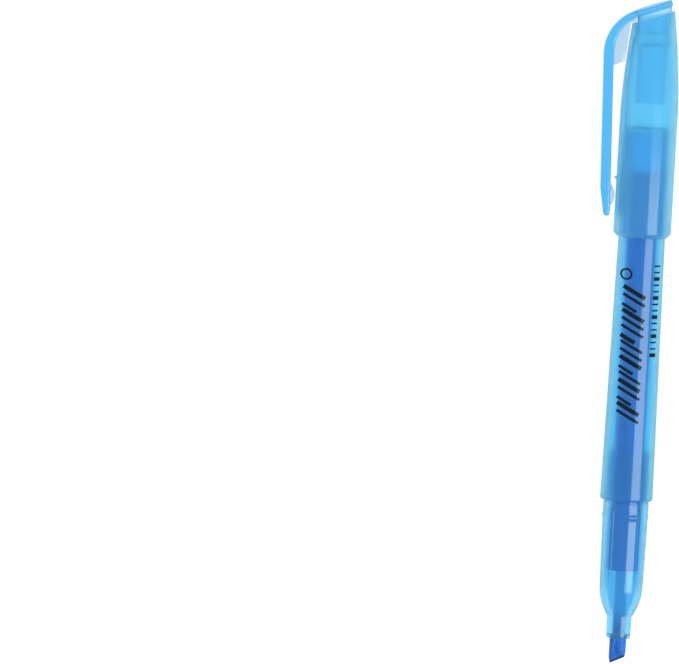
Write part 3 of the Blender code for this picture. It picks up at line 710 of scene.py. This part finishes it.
def make_print():
    """A made-up sample of slanted strokes, a row of dashes and a ring, printed on the barrel."""
    pattern = stroke_pattern()
    ring = ring_mark(radius=1.25, width=0.38, x=-2.9, height=BARREL_FRONT + 47.7)
    marks = [ring, *slanted_strokes(pattern), *row_of_dashes(pattern)]
    bpy.data.objects.remove(pattern)
    only(ring)
    for mark in marks:
        mark.select_set(True)
    bpy.ops.object.join()
    marking = bpy.context.object
    marking.name = marking.data.name = "barrel_print"
    outside = rod("print_surface", BARREL_FRONT_RADIUS, BARREL_FRONT, BARREL_REAR, sides=192,
                  top_radius=BARREL_REAR_RADIUS)
    wrap = marking.modifiers.new("wrap", "SHRINKWRAP")
    off_barrel, ink_thickness = 0.012, 0.02
    wrap.target, wrap.wrap_method, wrap.offset = outside, "PROJECT", off_barrel
    wrap.use_project_y, wrap.use_positive_direction, wrap.use_negative_direction = True, True, False
    thick = marking.modifiers.new("ink_thickness", "SOLIDIFY")
    thick.thickness, thick.offset = ink_thickness, 0
    apply_all(marking)
    bpy.data.objects.remove(outside)
    finish_piece(marking, PRINT_INK, "pen", "barrel")


# ------------------------------------------------------------------ cap and seal cup

def cap_bore(height):
    """Radius of the cap's bore, which fits the barrel and then keeps the cap's wall."""
    fitted = barrel_radius(min(height, BARREL_REAR)) + RUNNING_GAP
    return min(fitted, cap_radius(height) - CAP_WALL)


def cap_profile(blank_top):
    """Profile of the cap: its taper, the chamfered mouth, the narrowing bore and the clip's socket."""
    outside = [(cap_radius(h), h) for h in steps(blank_top, CAP_NARROWS, 24)]
    edge, soft = 0.8, 0.1
    mouth = [(CAP_RADIUS, CAP_MOUTH + edge + soft), (CAP_RADIUS - soft / 2, CAP_MOUTH + edge - soft / 2),
             (CAP_RADIUS - edge + soft, CAP_MOUTH + 0.06), (CAP_RADIUS - edge, CAP_MOUTH)]
    ledge, socket = CLIP_PLUG_END - 0.3, CLIP_PLUG_RADIUS + SNUG_GAP
    bore = [(cap_bore(CAP_MOUTH) + 0.08, CAP_MOUTH), (cap_bore(CAP_MOUTH), CAP_MOUTH + soft),
            (cap_bore(BARREL_REAR), BARREL_REAR)]
    bore += [(cap_bore(h), h) for h in steps(CAP_NARROWS, ledge, 10)[1:]]
    return [*outside, *mouth, *bore, (socket, ledge), (socket, blank_top)]


def cap_pip():
    """A small blunt cone that stands out from the cap's wall above the clip's nub."""
    length, proud = 1.0, 0.4
    return rod("cap_pip", 0.55, -length / 2, length / 2, turn=(0, -math.pi / 2, 0),
               centre=(length / 2 - proud - CAP_RADIUS, 0, ARM_TIP + 8.0), sides=32, top_radius=0.2)


def make_cap_shell():
    """The cap's tube, cut off at a slant, with its pip."""
    shell = lathe("cap_tube", cap_profile(blank_top=CAP_TOP + 3))
    cut_slant(shell, CAP_TOP)
    bevel(shell, 0.12, 3, 40)
    apply_all(shell)
    combine(shell, cap_pip(), "UNION")
    finish_piece(shell, CAP_PLASTIC, "cap", "cap_shell", "cap_shell")


def make_seal_cup():
    """The cup that closes over the nozzle, with its flange under the cap's socket."""
    bore, wall, chamfer = NOZZLE_RADIUS + RUNNING_GAP, 0.45, 0.15
    outside = bore + wall
    flange_top, flange_low = CUP_TOP, CUP_TOP - 1.1
    top_radius, low_radius = cap_bore(flange_top) - SNUG_GAP, cap_bore(flange_low) - SNUG_GAP
    cup = lathe("seal_cup", [
        (POLE, flange_top), (top_radius - 0.1, flange_top), (top_radius, flange_top - 0.1),
        (low_radius, flange_low), (outside, flange_low - 1.1),
        (outside, CUP_MOUTH + chamfer), (outside - chamfer, CUP_MOUTH), (bore + 0.12, CUP_MOUTH),
        (bore, CUP_MOUTH + wall), (bore, flange_low - 0.4), (bore - 0.4, flange_low),
        (POLE, flange_low)], closed=False)
    finish_piece(cup, CUP_PLASTIC, "cap", "inner_cap", "inner_cap")


# ------------------------------------------------------------------ clip

ARCH_RADIUS = 9.5
ARCH_CENTRE = Vector((ARCH_RADIUS - CLIP_REACH, 0, plate_line(ARCH_RADIUS - CLIP_REACH, ARCH_RADIUS)))
ARCH_START, ARCH_END = math.pi / 2 + TOP_SLANT, math.pi


def clip_outer(height):
    """Distance of the arm's outer face from the axis."""
    return CLIP_REACH - max(0.0, ARCH_CENTRE.z - height) * math.tan(CLIP_LEAN)


def clip_inner(height):
    """The x of the arm's inner face, on the clip's side of the axis."""
    return CLIP_THICKNESS - clip_outer(height)


def arch_point(radius, angle):
    """A point round the arch's centre, as (x, height)."""
    return ARCH_CENTRE.x + radius * math.cos(angle), ARCH_CENTRE.z + radius * math.sin(angle)


def arch_inside(start, end, count, deeper=0.0):
    """Points on the arch's inner face, which comes closer to the outer one towards the plate."""
    points = []
    for angle in steps(start, end, count):
        share = (ARCH_END - angle) / (ARCH_END - ARCH_START)
        thickness = along(CLIP_THICKNESS, PLATE_THICKNESS, max(share, 0.0) ** 1.5) - deeper
        points.append(arch_point(ARCH_RADIUS - thickness, angle))
    return points


def clip_arm_outline():
    """The arm's side outline from the arch down round its tip and up its inner face."""
    inner, radius = clip_inner(TIP_TAPER), 0.65
    tip = (inner - radius + 0.1, ARM_TIP + radius)
    down = [(-clip_outer(h), h) for h in steps(ARCH_CENTRE.z, TIP_TAPER, 12)]
    round_tip = [(tip[0] + radius * math.cos(a), tip[1] + radius * math.sin(a))
                 for a in steps(math.radians(190), math.radians(345), 10)]
    up = [(clip_inner(h), h) for h in steps(TIP_TAPER, ARCH_CENTRE.z, 14)]
    return [*down, *round_tip, (tip[0] + radius + 0.05, ARM_TIP + 1.6),
            (inner - 0.03, TIP_TAPER - 1.2), *up]


def top_plate():
    """The round plate that covers the cap's slanted top."""
    half, middle, inset = 0.63, -0.35, 0.2
    plate = rod("top_plate", CAP_TOP_RADIUS - inset, -half, half)
    bevel(plate, 0.25, 4)
    apply_all(plate)
    plate.rotation_euler = (0, -TOP_SLANT, 0)
    plate.location = (middle, 0, plate_line(middle, PLATE_THICKNESS / 2))
    return plate


def make_clip():
    """One moulding from the top plate over the arch to the tip of the springing arm."""
    outer = [arch_point(ARCH_RADIUS, angle) for angle in steps(ARCH_START, ARCH_END, 20)[:-1]]
    inner = arch_inside(ARCH_START, ARCH_END, 20)[-2::-1]
    clip = drawn_plate("pocket_clip", [
        (0, plate_line(0, 0)), *outer, *clip_arm_outline(), *inner,
        (0, plate_line(0, PLATE_THICKNESS))], CLIP_WIDTH)
    bevel(clip, 0.42, 4, 50)
    apply_all(clip)
    combine(clip, top_plate(), "UNION")
    finish_piece(clip, CLIP_PLASTIC, None, "clip", "clip_root", "clip_arm", smooth=40)
    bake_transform(clip)


def make_clip_plug():
    """The plug under the top plate, which is pressed into the cap's socket."""
    blank_top, under_plate = CAP_TOP + 6, 0.1
    plug = rod("clip_plug", CLIP_PLUG_RADIUS, CLIP_PLUG_END, blank_top)
    cut_slant(plug, plate_line(0, PLATE_THICKNESS + under_plate))
    bevel(plug, 0.12, 2)
    finish_piece(plug, PLUG_PLASTIC, "cap", "clip")


def make_clip_web():
    """The thin web that fills the corner between the arch, the arm's upper end and the cap."""
    low, off_wall, in_plug, thickness = FLEX_HEIGHT + 0.3, 0.25, 0.6 - CLIP_PLUG_RADIUS, 0.6
    wall_top = CAP_TOP - CAP_TOP_RADIUS * math.tan(TOP_SLANT)
    wall = [(-cap_radius(h) - off_wall, h) for h in steps(low + 1.0, wall_top, 8)]
    root = [(in_plug, plate_line(in_plug, depth))
            for depth in (PLATE_THICKNESS + PLATE_GAP * 0.6, PLATE_THICKNESS * 0.6)]
    web = drawn_plate("clip_web", [
        (clip_inner(low) - 0.05, low), *wall, *root,
        *arch_inside(math.radians(124), ARCH_END, 14, deeper=0.05)], thickness)
    bevel(web, 0.06, 2, 50)
    finish_piece(web, WEB_PLASTIC, "cap", "clip")


def make_clip_nub():
    """The nub on the arm's inner face, which swells towards the cap and holds a pocket's edge."""
    off_wall, sunk, width = 0.25, 0.08, 1.5
    face, root = -CAP_RADIUS - off_wall, clip_inner(TIP_TAPER) - sunk
    swell = [(face - back, ARM_TIP + rise) for back, rise in (
        (0.45, 2.5), (0.08, 3.6), (0, 4.1), (0, 4.6), (0.12, 5.2), (0.6, 6.3))]
    nub = drawn_plate("clip_nub", [(root, ARM_TIP + 6.8), (root, ARM_TIP + 1.9), *swell], width)
    bevel(nub, 0.2, 3, 50)
    finish_piece(nub, WEB_PLASTIC, "clip", "clip")


# ------------------------------------------------------------------ floor, light and camera

def make_floor():
    select_none()
    bpy.ops.mesh.primitive_circle_add(vertices=64, radius=3.0, fill_type="NGON", location=(0, 0, 0))
    floor = bpy.context.object
    floor.name = floor.data.name = "studio_floor"
    floor.data.materials.append(FLOOR_PAPER)
    floor.visible_glossy = False


def aim(thing, position, target, up):
    """Put a light or camera at a point, looking at another, with its own up direction."""
    back = (position - target).normalized()
    right = up.cross(back).normalized()
    turn = Matrix((right, back.cross(right), back)).transposed()
    thing.matrix_world = Matrix.Translation(position) @ turn.to_4x4()


def softbox(name, angle, low, high, distance, spread, power, colour):
    """A strip light along the pen; its angle goes round the pen, from above its front to its right."""
    data = bpy.data.lights.new(name, "AREA")
    data.shape, data.size = "RECTANGLE", 2 * distance * math.tan(spread / 2) * MM
    data.size_y, data.energy, data.color = (high - low) * MM, power, colour
    lamp = bpy.data.objects.new(name, data)
    bpy.context.collection.objects.link(lamp)
    lamp.visible_camera = lamp.visible_transmission = False
    outward = Vector((math.sin(angle), -math.cos(angle), 0))
    middle = Vector((0, 0, (low + high) / 2))
    position, target = PEN_TO_WORLD @ (middle + outward * distance), PEN_TO_WORLD @ middle
    aim(lamp, position, target, PEN_TURN @ Vector((0, 0, 1)))


def make_lights():
    world = bpy.data.worlds.new("studio")
    bpy.context.scene.world = world
    world.use_nodes = True
    background = world.node_tree.nodes["Background"]
    background.inputs["Color"].default_value = (0.46, 0.82, 1, 1)
    background.inputs["Strength"].default_value = 0.9
    softbox("strip_softbox", angle=math.radians(38), low=-100, high=66, distance=500,
            spread=math.radians(40), power=0.82, colour=(0.8, 1, 0.94))


def make_camera():
    """Long lens above the pen's front, a little from its rear end; the pen stands at the right."""
    data = bpy.data.cameras.new("camera")
    camera = bpy.data.objects.new("camera", data)
    bpy.context.collection.objects.link(camera)
    bpy.context.scene.camera = camera
    data.lens, data.sensor_width = 400, 36
    wide, aside, middle = 141.7, 61.9, 69.8
    lift, tilt = math.radians(5.7), math.radians(3.16)
    distance = wide * data.lens / data.sensor_width
    back = Vector((0, -math.cos(lift), math.sin(lift)))
    upward = (Vector((0, 0, 1)) - back * math.sin(lift)).normalized()
    across = upward.cross(back)
    up = upward * math.cos(tilt) - across * math.sin(tilt)
    right = across * math.cos(tilt) + upward * math.sin(tilt)
    target = Vector((0, 0, middle)) - right * aside
    aim(camera, PEN_TO_WORLD @ (target + back * distance), PEN_TO_WORLD @ target, PEN_TURN @ up)
    data.clip_start, data.clip_end = 0.01, 20


def set_light_paths():
    """Enough bounces to see through every wall, and colours shown as they are."""
    scene = bpy.context.scene
    scene.view_settings.view_transform = "Standard"
    scene.cycles.max_bounces = 24
    scene.cycles.transmission_bounces = 20
    scene.cycles.glossy_bounces = 6
    scene.cycles.sample_clamp_indirect = 2.5


make_barrel()
make_print()
make_front_section()
make_nib()
make_ink()
make_cap_shell()
make_seal_cup()
make_clip()
make_clip_plug()
make_clip_web()
make_clip_nub()
make_floor()
make_lights()
make_camera()
set_light_paths()
